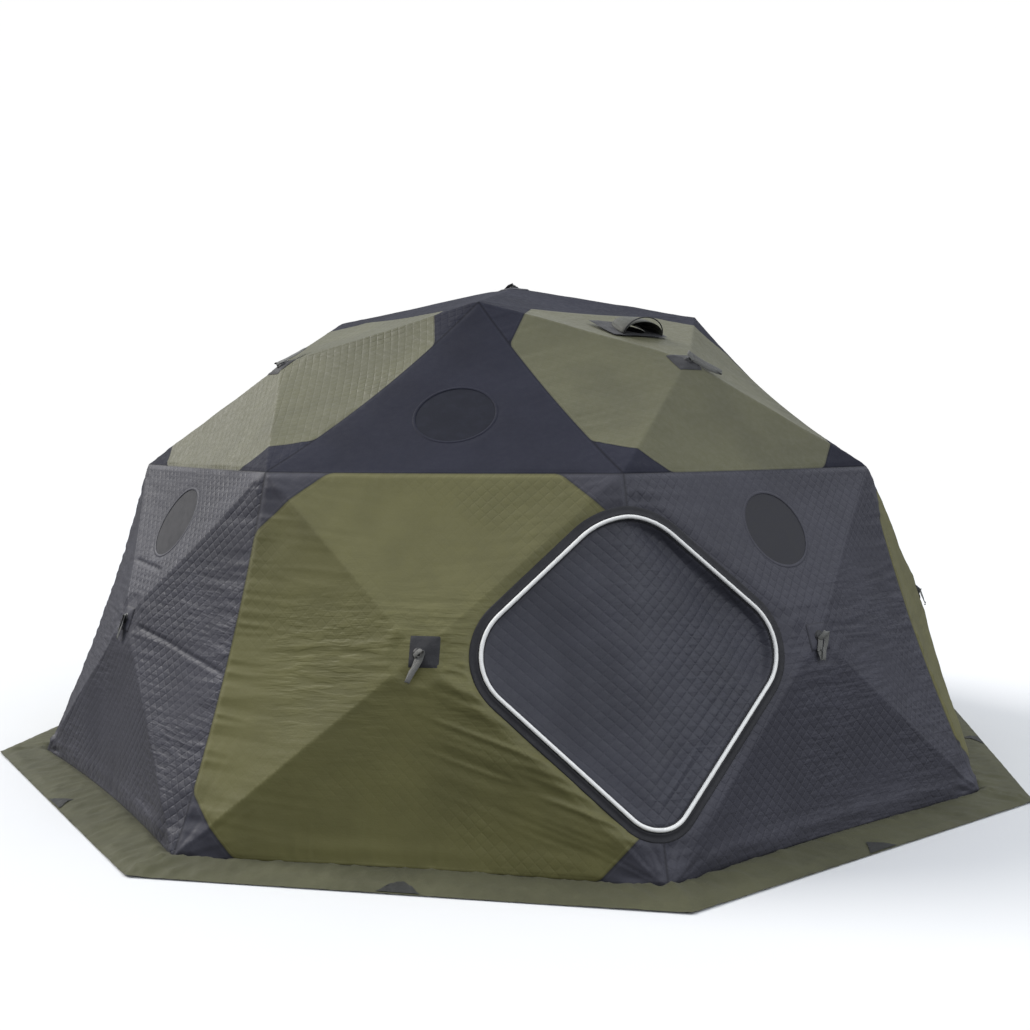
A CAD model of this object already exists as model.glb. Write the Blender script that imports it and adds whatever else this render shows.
"""Ice fishing shelter: the visual model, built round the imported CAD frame.

Metres, +Z up, the origin on the ground under the crown. Azimuth 0 points along -Y, at the corner that
the door spans, and grows towards +X. Every panel is one sheet of quilted cloth, drawn in between
seams that it shares with its neighbours and held out in the middle by its hub and poles.
"""

import math

import bpy
import numpy as np
from mathutils import Matrix, Vector
from mathutils.geometry import delaunay_2d_cdt
from mathutils.kdtree import KDTree


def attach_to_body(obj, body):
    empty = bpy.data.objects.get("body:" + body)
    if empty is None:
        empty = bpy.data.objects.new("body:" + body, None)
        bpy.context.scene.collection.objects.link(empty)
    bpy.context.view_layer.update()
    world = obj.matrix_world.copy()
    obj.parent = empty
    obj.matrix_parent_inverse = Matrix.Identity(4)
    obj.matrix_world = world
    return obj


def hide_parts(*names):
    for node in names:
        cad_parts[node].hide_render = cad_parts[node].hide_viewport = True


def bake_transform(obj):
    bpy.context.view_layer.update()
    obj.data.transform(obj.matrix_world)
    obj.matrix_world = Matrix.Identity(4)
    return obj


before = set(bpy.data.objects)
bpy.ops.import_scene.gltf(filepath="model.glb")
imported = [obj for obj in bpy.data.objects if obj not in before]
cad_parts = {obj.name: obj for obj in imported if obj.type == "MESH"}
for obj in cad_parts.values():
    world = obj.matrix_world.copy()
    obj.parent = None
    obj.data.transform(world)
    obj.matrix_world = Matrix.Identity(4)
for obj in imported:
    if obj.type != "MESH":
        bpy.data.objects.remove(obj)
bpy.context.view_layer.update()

# Shell, as the CAD has it
WALLS = range(1, 9)
ODD = (1, 3, 5, 7)
DOOR_WALLS = ("wall_1", "wall_8")
EVEN = (2, 4, 6, 8)
STEP = 45.0
LEVELS = {"ground": (2.44, 0.0044), "shoulder": (1.91, 1.45), "crown": (0.968, 2.209)}
WALL_POP = 0.127
ROOF_POP = 0.160
CROWN_POP = 0.176
WALL_HUB_LEVEL = 0.514
ROOF_HUB_LEVEL = 0.463

# How far each kind of seam is drawn inwards at its middle, as a share of its length, and the height
# on the shelter's axis that it is drawn towards (None: level with the seam)
SEAM_SAG = {
    ("ground", "ground"): (0.020, None),
    ("ground", "shoulder"): (0.026, None),
    ("shoulder", "shoulder"): (0.006, 0.9),
    ("crown", "shoulder"): (0.036, 0.9),
    ("crown", "crown"): (0.018, 1.2),
}
SAG_FALLOFF = 1.7
FACET_SAG = 0.009

# Cloth meshes
SPACING = 0.0125
FINE_SPACING = 0.0085
FINE_PANELS = ("wall_1", "wall_7", "wall_8", "roof_quarter_7")
LEAF_SPACING = 0.0080
SKIRT_SPACING = 0.017
QUILT_CELL = 0.050
QUILT_DEPTH = 0.0016
TUCK_DEPTH = 0.0065

# How slack each sheet hangs, which sets how much its quilting and ripples show
SLACKNESS = {"wall_dark": 1.0, "wall_olive": 0.42, "quarter": 0.2, "triangle": 0.1, "crown": 0.15,
             "roof_quarter_7": 1.0, "roof_quarter_5": 0.7}

# How far under the cloth the rods meet their hub
ROD_DEPTH = 0.036
ROD_RINGS = 26
STRAP_RINGS = 84

# Round windows: centre (across, up the panel) and radius
WALL_WINDOW = (0.0, 1.257, 0.165)
TRIANGLE_WINDOW = (0.0, 0.37, 0.175)
BINDING = 0.012
WINDOW_SIDES = 84

# Door, a rounded diamond across the corner seam
DOOR_LEVEL = 0.875
DOOR_HALF_ACROSS = 0.69
DOOR_BELOW = 0.727
DOOR_ABOVE = 0.567
DOOR_SIDE_RADIUS = 0.205
DOOR_FOOT_RADIUS = 0.13
DOOR_TOP_RADIUS = 0.29
SURROUND_WIDTH = 0.050
SURROUND_SIDES = 420
PIPING_RADIUS = 0.007
PIPING_OFFSET = 0.0078
LEAF_CELL = 0.052

# Vent on the roof quarter beside the door
VENT_DROP = 0.30
# How far over the sagging cloth the vent's patch lies
VENT_RADIUS = 0.070
VENT_SIDES = 36
VENT_PATCH = ((-0.185, -0.105), (0.150, 0.105))
VENT_MOUTH_AHEAD = 0.085
HOOD_HALF_WIDTH = 0.120
HOOD_HEIGHT = 0.065
HOOD_LENGTH = 0.185
HOOD_GRID = (40, 18)

# Each pull strap's direction across the panel in degrees, its length, how far its loop is spread, how high
# it stands and how it is tilted; and each hub patch's lower left and upper right corners
STRAPS = {
    "dark": (-106, 0.090, 0.008, 0.15),
    "olive": (-112, 0.105, 0.0, 0.15),
    "roof": (-38, 0.15, 0.006, 0.12),
    "crown": (80, 0.12, 0.008, 0.15),
    "wall_1": (-106, 0.090, 0.008, 1.0),
    "wall_2": (-150, 0.105, 0.0, 0.15),
    "wall_8": (-112, 0.105, 0.0, 1.0),
    "roof_1": (-38, 0.15, 0.006, 0.9, 1.0),
    "roof_7": (95, 0.15, 0.006, 0.12),
}
HUB_PATCHES = {"dark": ((-0.055, -0.055), (0.055, 0.055)), "olive": ((-0.039, -0.050), (0.076, 0.070)),
               "roof": ((-0.085, -0.060), (0.045, 0.060)), "crown": ((-0.06, -0.06), (0.06, 0.06))}

# Skirt
SKIRT_OUTER = 2.662
SKIRT_TUCK = 0.035
TAB_HALF = 0.080
TAB_DEPTH = 0.085

# Camera, at the photograph's viewing angle
CAMERA_AT = (-1.42610, -6.26259, 1.61848)
CAMERA_RIGHT = (0.97489, -0.22269, -0.00238)
CAMERA_UP = (0.01832, 0.06953, 0.99741)
CAMERA_FORWARD = (0.22195, 0.97241, -0.07187)
CAMERA_LENS = 41.113

# Light: a sky that brightens overhead, and a broad soft key from the left and a little behind
SKY_LOW = 0.07
SKY_HIGH = 1.05
KEY_ENERGY = 2.1
KEY_FROM = (-0.70, 0.46, 0.66)
KEY_ANGLE = 24
FILL_ENERGY = 1.0
FILL_FROM = (0.46, -0.82, 0.42)
FILL_ANGLE = 70
FLOOR_SEEN = 0.80
FLOOR_BOUNCE = 0.10


# ---------------------------------------------------------------- small tools

NOISE_GRID = 64


def unit(vector):
    return vector / np.linalg.norm(vector)


def around(radius, azimuth, height):
    turn = math.radians(azimuth)
    return np.array([radius * math.sin(turn), -radius * math.cos(turn), height])


def smoothstep(value):
    value = np.clip(value, 0, 1)
    return value * value * (3 - 2 * value)


def value_noise(x, y, seed):
    """Smooth noise from -1 to 1 with features one unit across."""
    side = NOISE_GRID
    grid = np.random.default_rng(seed).uniform(-1, 1, (side, side))
    column, row = np.floor(x).astype(int), np.floor(y).astype(int)
    across, up = smoothstep(x - column), smoothstep(y - row)

    def at(right, above):
        return grid[(column + right) % side, (row + above) % side]

    low = at(0, 0) * (1 - across) + at(1, 0) * across
    high = at(0, 1) * (1 - across) + at(1, 1) * across
    return low * (1 - up) + high * up


def fractal(x, y, seed, octaves=3):
    return sum(value_noise(x * 2**o, y * 2**o, seed + o) / 2**o for o in range(octaves))


def folds(x, y, seed):
    """Rounded folds with sharper valleys, from 0 to 1."""
    wave = value_noise(x, y, seed) + 0.35 * value_noise(2.3 * x, y, seed + 7)
    return np.clip(1 - np.abs(wave), 0, 1)


def resampled(points, spacing, closed=False):
    """The polyline's points, spread evenly about a spacing apart."""
    points = np.array(points, float)
    if closed:
        points = np.vstack([points, points[:1]])
    steps = np.linalg.norm(np.diff(points, axis=0), axis=1)
    along = np.concatenate([[0], np.cumsum(steps)])
    count = max(1, round(along[-1] / spacing))
    wanted = np.linspace(0, along[-1], count + 1)
    made = np.stack([np.interp(wanted, along, points[:, axis]) for axis in range(2)], axis=1)
    return made[:-1] if closed else made


def inside(points, outline):
    """Which points lie in the closed outline."""
    x, y = points[:, 0], points[:, 1]
    found = np.zeros(len(points), bool)
    for (x0, y0), (x1, y1) in zip(outline, np.roll(outline, -1, axis=0)):
        if y0 == y1:
            continue
        crosses = (y0 > y) != (y1 > y)
        found ^= crosses & (x < (x1 - x0) * (y - y0) / (y1 - y0) + x0)
    return found


def distance_to(points, line, closed=False):
    """Each point's distance from a polyline."""
    line = np.array(line, float)
    ends = np.roll(line, -1, axis=0) if closed else line[1:]
    best = np.full(len(points), 1e9)
    for start, end in zip(line, ends):
        along = end - start
        share = np.clip((points - start) @ along / max(along @ along, 1e-12), 0, 1)
        gap = np.linalg.norm(points - start - share[:, None] * along, axis=1)
        best = np.minimum(best, gap)
    return best


def circle(centre, radius, count=64):
    turns = np.linspace(0, 2 * np.pi, count, endpoint=False)
    return np.stack([centre[0] + radius * np.cos(turns), centre[1] + radius * np.sin(turns)], 1)


def triangulated(outline, spacing, lines=(), holes=()):
    """A flat mesh of even triangles that follows the outline, the lines and the holes."""
    outline = np.array(outline, float)
    loops = [outline, *[np.array(hole, float) for hole in holes]]
    points, edges = [], []
    for loop, closed in [(loop, True) for loop in loops] + [(line, False) for line in lines]:
        first = len(points)
        points += [Vector(point) for point in loop]
        count = len(loop)
        edges += [(first + i, first + (i + 1) % count) for i in range(count if closed else count - 1)]
    fixed = KDTree(len(points))
    for index, point in enumerate(points):
        fixed.insert((point.x, point.y, 0), index)
    fixed.balance()
    low, high = outline.min(0), outline.max(0)
    rise = spacing * math.sqrt(3) / 2
    rows, columns = int((high[1] - low[1]) / rise) + 2, int((high[0] - low[0]) / spacing) + 2
    row, column = np.mgrid[0:rows, 0:columns]
    lattice = np.stack([low[0] + (column + row % 2 / 2) * spacing, low[1] + row * rise], -1)
    lattice = lattice.reshape(-1, 2)
    lattice = lattice[inside(lattice, outline)]
    for point in lattice:
        if fixed.find((point[0], point[1], 0))[2] > 0.62 * spacing:
            points.append(Vector(point))
    made, _, faces, *_ = delaunay_2d_cdt(points, edges, [], 0, 1e-6)
    flat = np.array([tuple(point) for point in made])
    faces = np.array([face for face in faces if len(face) == 3])
    middles = flat[faces].mean(axis=1)
    keep = inside(middles, outline)
    for hole in loops[1:]:
        keep &= ~inside(middles, hole)
    faces = faces[keep]
    a, b, c = flat[faces[:, 0]], flat[faces[:, 1]], flat[faces[:, 2]]
    area = (b[:, 0] - a[:, 0]) * (c[:, 1] - a[:, 1]) - (b[:, 1] - a[:, 1]) * (c[:, 0] - a[:, 0])
    faces = faces[np.abs(area) > 1e-9]
    turned = area[np.abs(area) > 1e-9] < 0
    faces[turned] = faces[turned][:, ::-1]
    used, index = np.unique(faces, return_inverse=True)
    return flat[used], index.reshape(faces.shape)


def new_piece(name, points, faces, looks, slots=None, cloth=None, marks=None):
    """A mesh object. cloth holds (across, up, distance from the nearest seam) for the materials, and
    marks how strongly its ripples and its quilting show."""
    mesh = bpy.data.meshes.new(name)
    mesh.from_pydata([tuple(point) for point in points], [], [tuple(face) for face in faces])
    mesh.polygons.foreach_set("use_smooth", [True] * len(mesh.polygons))
    for look in looks:
        mesh.materials.append(look)
    if slots is not None:
        mesh.polygons.foreach_set("material_index", np.asarray(slots, np.int32))
    values = {"rest": np.asarray(points, np.float32)}
    if cloth is not None:
        values["cloth"] = np.asarray(cloth, np.float32)
    if marks is not None:
        values["marks"] = np.pad(np.asarray(marks, np.float32), ((0, 0), (0, 1)))
    for key, value in values.items():
        attribute = mesh.attributes.new(key, "FLOAT_VECTOR", "POINT")
        attribute.data.foreach_set("vector", value.ravel())
    mesh.update()
    obj = bpy.data.objects.new(name, mesh)
    bpy.context.scene.collection.objects.link(obj)
    return obj


def ring_faces(rows, sides, closed=False):
    """Faces of the bands between rings of points, and of the last one back to the first if closed."""
    faces = []
    for row in range(rows):
        low = row * sides
        high = (row + 1) % rows * sides if closed else low + sides
        for index in range(sides):
            after = (index + 1) % sides
            faces.append((low + index, low + after, high + after, high + index))
    return faces


def capped(rows, sides):
    """Faces of a tube through rings of points, with a flat end at both."""
    last = rows * sides
    ends = [tuple(range(sides))[::-1], tuple(range(last, last + sides))]
    return ring_faces(rows, sides) + ends


# ---------------------------------------------------------------- materials


class Shader:
    """A node material on one Principled shader."""

    def __init__(self, name, roughness, **sockets):
        self.material = bpy.data.materials.new(name)
        self.material.use_nodes = True
        self.tree = self.material.node_tree
        self.surface = self.tree.nodes["Principled BSDF"]
        self.surface.inputs["Roughness"].default_value = roughness
        for key, value in sockets.items():
            self.surface.inputs[key.replace("_", " ")].default_value = value

    def node(self, kind, inputs=None, **settings):
        made = self.tree.nodes.new(kind)
        for key, value in settings.items():
            setattr(made, key, value)
        for key, value in (inputs or {}).items():
            if isinstance(value, bpy.types.NodeSocket):
                self.tree.links.new(value, made.inputs[key])
            else:
                made.inputs[key].default_value = value
        return made

    def math(self, operation, *values, clamp=False):
        made = self.node("ShaderNodeMath", dict(enumerate(values)), operation=operation, use_clamp=clamp)
        return made.outputs[0]

    def times(self, *values):
        return self.math("MULTIPLY", *values)

    def attribute(self, name):
        return self.node("ShaderNodeAttribute", attribute_name=name).outputs["Vector"]

    def split(self, vector):
        made = self.node("ShaderNodeSeparateXYZ", {0: vector})
        return made.outputs[0], made.outputs[1], made.outputs[2]

    def join(self, x, y, z=0.0):
        return self.node("ShaderNodeCombineXYZ", {0: x, 1: y, 2: z}).outputs[0]

    def noise(self, vector, scale, detail=3.0, roughness=0.55):
        inputs = {"Vector": vector, "Scale": scale, "Detail": detail, "Roughness": roughness}
        return self.node("ShaderNodeTexNoise", inputs).outputs["Fac"]

    def ramp(self, value, low, high, to_low=0.0, to_high=1.0):
        inputs = {0: value, 1: low, 2: high, 3: to_low, 4: to_high}
        made = self.node("ShaderNodeMapRange", inputs, interpolation_type="SMOOTHSTEP")
        return made.outputs[0]

    def mix(self, share, first, second):
        first, second = [(*c, 1.0) if isinstance(c, tuple) else c for c in (first, second)]
        made = self.node("ShaderNodeMix", {0: share, 6: first, 7: second}, data_type="RGBA")
        return made.outputs[2]

    def bump(self, height, distance, strength=1.0, normal=None):
        inputs = {"Height": height, "Distance": distance, "Strength": strength}
        if normal is not None:
            inputs["Normal"] = normal
        return self.node("ShaderNodeBump", inputs).outputs[0]

    def finish(self, colour=None, roughness=None, normal=None):
        for key, value in (("Base Color", colour), ("Roughness", roughness), ("Normal", normal)):
            if value is not None:
                self.tree.links.new(value, self.surface.inputs[key])
        return self.material


def tone(colour, factor):
    return tuple(min(1.0, channel * factor) for channel in colour)


def weave(shader, spot, pitch):
    """Crossing threads, from 0 to 1, on the rest position."""
    x, y, z = shader.split(spot)
    slant = shader.math("ADD", x, y)
    warp = shader.math("SINE", shader.times(slant, 2 * math.pi / pitch))
    weft = shader.math("SINE", shader.times(z, 2 * math.pi / pitch))
    crossed = shader.times(warp, weft)
    return shader.math("MULTIPLY_ADD", crossed, 0.5, 0.5)


def quilted_cloth(name, colour, cell, roughness, sheen, gloss, wear=0.5):
    """Coated polyester quilted in diamonds: stitched valleys, ripples, weave and scuffs."""
    shader = Shader(name, roughness, Sheen_Weight=sheen, Sheen_Roughness=0.45, Specular_IOR_Level=gloss)
    across, up, seam = shader.split(shader.attribute("cloth"))
    slack, quilted, _ = shader.split(shader.attribute("marks"))
    rest = shader.attribute("rest")
    lean = shader.math("DIVIDE", shader.math("ADD", across, up), cell)
    back = shader.math("DIVIDE", shader.math("SUBTRACT", across, up), cell)
    wander = shader.math("MULTIPLY_ADD", shader.noise(rest, 9.0, 2.0), 0.16, -0.08)
    lines = []
    for line, other in ((lean, back), (back, lean)):
        line = shader.math("ADD", line, wander)
        gap = shader.math("PINGPONG", line, 0.5)
        valley = shader.ramp(gap, 0.0, 0.16, 1.0, 0.0)
        stitch = shader.math("PINGPONG", shader.times(other, 10.0), 0.5)
        dash = shader.ramp(stitch, 0.12, 0.2, 0.0, 1.0)
        thread = shader.ramp(gap, 0.0, 0.02, 1.0, 0.0)
        lines.append((valley, shader.times(thread, dash)))
    valley = shader.times(shader.math("MAXIMUM", lines[0][0], lines[1][0]), quilted)
    thread = shader.times(shader.math("MAXIMUM", lines[0][1], lines[1][1]), quilted)
    clouds = shader.noise(rest, 2.2, 3.0, 0.6)
    scuffs = shader.noise(rest, 38.0, 4.0, 0.7)
    seam_line = shader.ramp(seam, 0.0, 0.008, 1.0, 0.0)
    topstitch = shader.math("ABSOLUTE", shader.math("SUBTRACT", seam, 0.012))
    topstitch = shader.ramp(topstitch, 0.0006, 0.0016, 1.0, 0.0)
    run = shader.math("PINGPONG", shader.math("DIVIDE", shader.math("ADD", across, up), 0.009), 0.5)
    topstitch = shader.times(topstitch, shader.ramp(run, 0.1, 0.16))
    waves = shader.noise(shader.join(shader.times(across, 0.20), up, 0.0), 40.0, 2.0, 0.5)
    ripple = shader.times(shader.ramp(waves, 0.36, 0.66), slack)
    paint = shader.mix(shader.ramp(clouds, 0.3, 0.7), tone(colour, 0.86), tone(colour, 1.10))
    paint = shader.mix(shader.ramp(scuffs, 0.55, 0.8, 0.0, wear * 0.35), paint, tone(colour, 1.5))
    layers = ((valley, 0.22, 0.55), (ripple, 0.20, 1.7), (seam_line, 0.65, 0.3), (thread, 0.25, 1.6),
              (topstitch, 0.3, 1.7))
    for where, strength, factor in layers:
        paint = shader.mix(shader.times(where, strength), paint, tone(colour, factor))
    creases = shader.noise(shader.join(shader.times(across, 0.35), up, seam), 95.0, 3.0, 0.6)
    height = shader.times(valley, -1.1)
    for where, lift in ((ripple, 1.7), (creases, 0.35), (topstitch, -0.3)):
        height = shader.math("MULTIPLY_ADD", where, lift, height)
    normal = shader.bump(height, 0.001)
    normal = shader.bump(weave(shader, rest, 0.0022), 0.0002, 0.35, normal)
    satin = shader.ramp(scuffs, 0.3, 0.75, roughness - 0.07, roughness + 0.10)
    return shader.finish(paint, satin, normal)


def plain_cloth(name, colour, roughness, wear=0.5, pitch=0.0024):
    """Unquilted coated cloth or tape."""
    shader = Shader(name, roughness, Sheen_Weight=0.06, Sheen_Roughness=0.5, Specular_IOR_Level=0.28)
    rest = shader.attribute("rest")
    clouds = shader.noise(rest, 3.1, 3.0, 0.6)
    scuffs = shader.noise(rest, 30.0, 5.0, 0.7)
    paint = shader.mix(shader.ramp(clouds, 0.3, 0.7), tone(colour, 0.86), tone(colour, 1.12))
    paint = shader.mix(shader.ramp(scuffs, 0.5, 0.8, 0.0, wear * 0.4), paint, tone(colour, 1.5))
    creases = shader.noise(rest, 24.0, 4.0, 0.65)
    normal = shader.bump(creases, 0.004, 0.6)
    normal = shader.bump(weave(shader, rest, pitch), 0.0003, 0.5, normal)
    gloss = shader.ramp(scuffs, 0.3, 0.75, roughness - 0.06, roughness + 0.12)
    return shader.finish(paint, gloss, normal)


def webbing(name, colour):
    """Ribbed strap webbing."""
    shader = Shader(name, 0.6, Sheen_Weight=0.2, Sheen_Roughness=0.4)
    rest = shader.attribute("rest")
    ribs = weave(shader, rest, 0.004)
    fuzz = shader.noise(rest, 160.0, 3.0)
    paint = shader.mix(ribs, tone(colour, 0.72), tone(colour, 1.15))
    paint = shader.mix(shader.ramp(fuzz, 0.5, 0.8, 0.0, 0.35), paint, tone(colour, 1.5))
    normal = shader.bump(ribs, 0.0008)
    return shader.finish(paint, shader.ramp(fuzz, 0.3, 0.7, 0.5, 0.72), normal)


def piping_cloth(name, colour):
    """White reflective piping, a little soiled, with the twist of its cord showing."""
    shader = Shader(name, 0.42, Specular_IOR_Level=0.45)
    rest = shader.attribute("rest")
    dirt = shader.noise(rest, 14.0, 4.0, 0.65)
    paint = shader.mix(shader.ramp(dirt, 0.5, 0.8, 0.0, 0.4), colour, tone(colour, 0.62))
    normal = shader.bump(weave(shader, rest, 0.005), 0.0004)
    return shader.finish(paint, shader.ramp(dirt, 0.3, 0.7, 0.36, 0.55), normal)


def moulded_plastic(name, colour, roughness):
    """Glass-filled nylon with a fine moulded grain and rubbed patches."""
    shader = Shader(name, roughness, Specular_IOR_Level=0.45)
    spot = shader.node("ShaderNodeNewGeometry").outputs["Position"]
    grain = shader.noise(spot, 420.0, 3.0, 0.6)
    rubbed = shader.noise(spot, 26.0, 4.0, 0.6)
    paint = shader.mix(shader.ramp(rubbed, 0.5, 0.75, 0.0, 0.6), colour, tone(colour, 2.0))
    normal = shader.bump(grain, 0.0003, 0.6)
    return shader.finish(paint, shader.ramp(rubbed, 0.3, 0.7, roughness - 0.08, roughness + 0.12), normal)


def fibreglass(name, colour):
    """Drawn fibreglass rod: long fibres under a satin skin."""
    shader = Shader(name, 0.34, Coat_Weight=0.25, Coat_Roughness=0.25)
    rest = shader.attribute("rest")
    x, y, z = shader.split(rest)
    drawn = shader.join(shader.times(x, 30.0), shader.times(y, 30.0), z)
    fibres = shader.noise(drawn, 9.0)
    paint = shader.mix(shader.ramp(fibres, 0.35, 0.65), tone(colour, 0.75), tone(colour, 1.1))
    return shader.finish(paint, shader.ramp(fibres, 0.3, 0.7, 0.28, 0.42), shader.bump(fibres, 0.0003, 0.5))


def insect_mesh(name, colour):
    """Woven insect mesh, close enough to be nearly black."""
    shader = Shader(name, 0.75, Specular_IOR_Level=0.2)
    threads = weave(shader, shader.attribute("rest"), 0.0036)
    paint = shader.mix(shader.ramp(threads, 0.35, 0.6), tone(colour, 0.4), tone(colour, 2.4))
    return shader.finish(paint, None, shader.bump(threads, 0.0008))


def window_film(name, colour, gloss):
    """Clear film over its blackout flap: soft waves and fingermarks in the gloss."""
    shader = Shader(name, 0.42, Specular_IOR_Level=gloss)
    rest = shader.attribute("rest")
    waves = shader.noise(rest, 7.0, 3.0, 0.5)
    smears = shader.noise(rest, 22.0, 4.0, 0.6)
    paint = shader.mix(shader.ramp(smears, 0.4, 0.75), colour, tone(colour, 1.35))
    normal = shader.bump(waves, 0.004, 0.5)
    return shader.finish(paint, shader.ramp(smears, 0.35, 0.7, 0.40, 0.55), normal)


OLIVE = (0.134, 0.127, 0.047)
ROOF_OLIVE = (0.092, 0.090, 0.045)
DARK = (0.051, 0.051, 0.067)
ROOF_DARK = (0.024, 0.025, 0.038)
SKIRT_OLIVE = (0.080, 0.080, 0.044)

materials = {
    "olive": quilted_cloth("quilted_olive", OLIVE, QUILT_CELL, 0.56, 0.08, 0.40),
    "roof_olive": quilted_cloth("quilted_roof_olive", ROOF_OLIVE, QUILT_CELL, 0.56, 0.08, 0.40),
    "dark": quilted_cloth("quilted_dark", DARK, QUILT_CELL, 0.55, 0.06, 0.30),
    "roof_dark": quilted_cloth("quilted_roof_dark", ROOF_DARK, QUILT_CELL, 0.66, 0.0, 0.10),
    "leaf": quilted_cloth("quilted_door", (0.046, 0.047, 0.062), LEAF_CELL, 0.5, 0.06, 0.30, 0.8),
    "patch": plain_cloth("patch_cloth", (0.034, 0.034, 0.038), 0.62),
    "tape": plain_cloth("zip_tape", (0.028, 0.028, 0.033), 0.6, 0.4, 0.0018),
    "skirt": plain_cloth("skirt_cloth", SKIRT_OLIVE, 0.66, 0.9),
    "tab": plain_cloth("tab_cloth", (0.030, 0.031, 0.030), 0.62),
    "hood": plain_cloth("hood_cloth", (0.075, 0.076, 0.066), 0.62),
    "webbing": webbing("strap_webbing", (0.150, 0.150, 0.142)),
    "piping": piping_cloth("white_piping", (0.93, 0.93, 0.92)),
    "plastic": moulded_plastic("black_nylon", (0.018, 0.018, 0.020), 0.42),
    "rod": fibreglass("fibreglass_rod", (0.60, 0.58, 0.50)),
    "mesh": insect_mesh("black_mesh", (0.010, 0.010, 0.012)),
    "film": window_film("window_film", (0.019, 0.019, 0.025), 0.30),
    "roof_film": window_film("roof_window_film", (0.014, 0.015, 0.023), 0.10),
}


# ---------------------------------------------------------------- panels


def spot(corner):
    level, azimuth = corner
    radius, height = LEVELS[level]
    return around(radius, azimuth, height)


def seam_dip(first, second):
    """How far, and which way, the middle of the seam between two corners is drawn in."""
    levels = tuple(sorted((first[0], second[0])))
    share, aim = SEAM_SAG[levels if levels in SEAM_SAG else levels[::-1]]
    a, b = spot(first), spot(second)
    middle, length = (a + b) / 2, np.linalg.norm(b - a)
    if set(levels) == {"ground", "shoulder"} and first[1] % 360 == 0:
        return np.zeros(3)
    inwards = np.array([0, 0, middle[2] if aim is None else aim]) - middle
    along = (b - a) / length
    inwards = unit(inwards - along * (inwards @ along))
    return inwards * share * length


class Panel:
    """A sheet between named corners, listed anticlockwise from outside, starting at the lower left."""

    def __init__(self, name, corners, pop, level):
        self.name = name
        self.points = np.array([spot(corner) for corner in corners])
        self.dips = [seam_dip(c, corners[(i + 1) % len(corners)]) for i, c in enumerate(corners)]
        self.foot = (self.points[0] + self.points[1]) / 2
        top = (self.points[2] + self.points[-1]) / 2
        self.normal = unit(np.cross(self.points[1] - self.points[0], self.points[-1] - self.points[0]))
        self.up = unit(top - self.foot)
        self.right = np.cross(self.up, self.normal)
        self.pop = pop
        self.base = self.foot + (top - self.foot) * level
        self.hub = self.base + self.normal * pop
        self.flat = self.flatten(self.points)
        self.middle = self.flatten(self.hub[None])[0]

    def flatten(self, points):
        """(across, up) of points, looking along the panel's normal."""
        away = np.asarray(points) - self.foot
        return np.stack([away @ self.right, away @ self.up], axis=-1)

    def polar(self, flat):
        """Share of the way from the hub to the rim, which rim edge, and how far along it."""
        best = np.full(len(flat), -1e9)
        reach, share, edge = np.zeros(len(flat)), np.zeros(len(flat)), np.zeros(len(flat), int)
        for index in range(len(self.flat)):
            ends = self.flat[[index, (index + 1) % len(self.flat)]] - self.middle
            weights = (flat - self.middle) @ np.linalg.inv(ends)
            score = weights.min(axis=1)
            total = weights.sum(axis=1)
            found = score > best
            best[found] = score[found]
            reach[found] = total[found]
            edge[found] = index
            share[found] = (weights[:, 1] / np.maximum(total, 1e-9))[found]
        return reach, np.clip(share, 0, 1), edge

    def place(self, flat):
        """Where flat points lie on the drawn cloth, before its relief."""
        if not self.pop:
            return self.membrane(flat)
        reach, share, edge = self.polar(flat)
        following = (edge + 1) % len(self.points)
        rim = self.points[edge] * (1 - share)[:, None] + self.points[following] * share[:, None]
        bow = (4 * share * (1 - share))[:, None] * np.array(self.dips)[edge]
        made = self.hub + (rim - self.hub) * reach[:, None] + bow * (reach**SAG_FALLOFF)[:, None]
        belly = 27 * np.clip(1 - reach, 0, 1) * reach**2 * share * (1 - share)
        return made - self.normal * (FACET_SAG * belly)[:, None]

    def membrane(self, flat):
        """A flat triangle's sheet, pulled in smoothly between its three drawn seams."""
        plane = np.vstack([self.flat.T, np.ones(3)])
        weights = np.linalg.solve(plane, np.vstack([flat.T, np.ones(len(flat))])).T
        made = weights @ self.points
        for index, dip in enumerate(self.dips):
            after = (index + 1) % 3
            made += (4 * weights[:, index] * weights[:, after])[:, None] * dip
        bubble = (27 * np.prod(weights, axis=1))[:, None]
        return made - bubble * np.sum(self.dips, axis=0) / 6

    def edge_gaps(self, flat):
        """Each point's distance from each rim edge, and how far along that edge it is."""
        gaps, runs = [], []
        for index, start in enumerate(self.flat):
            along = self.flat[(index + 1) % len(self.flat)] - start
            length = np.linalg.norm(along)
            along = along / length
            away = flat - start
            gaps.append(np.abs(away[:, 0] * along[1] - away[:, 1] * along[0]))
            runs.append(away @ along)
        return gaps, runs

    def outline(self, spacing=SPACING):
        rows = []
        for index, start in enumerate(self.points):
            end = self.points[(index + 1) % len(self.points)]
            count = max(1, round(np.linalg.norm(end - start) / spacing))
            shares = np.arange(count)[:, None] / count
            rows.append(self.flat[index] * (1 - shares) + self.flat[(index + 1) % len(self.flat)] * shares)
        return np.vstack(rows)

    def creases(self, spacing=SPACING):
        if not self.pop:
            return []
        return [resampled([self.middle, corner], spacing)[:-1] for corner in self.flat]


def wall_corners(number):
    left, right = STEP * (number - 1), STEP * number
    return [("ground", left), ("ground", right), ("shoulder", right), ("shoulder", left)]


def quarter_corners(number):
    left, right = STEP * (number - 1), STEP * number
    return [("shoulder", left), ("shoulder", right), ("crown", right + 22.5), ("crown", left - 22.5)]


def triangle_corners(number):
    left, right = STEP * (number - 1), STEP * number
    return [("shoulder", left), ("shoulder", right), ("crown", left + 22.5)]


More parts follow.
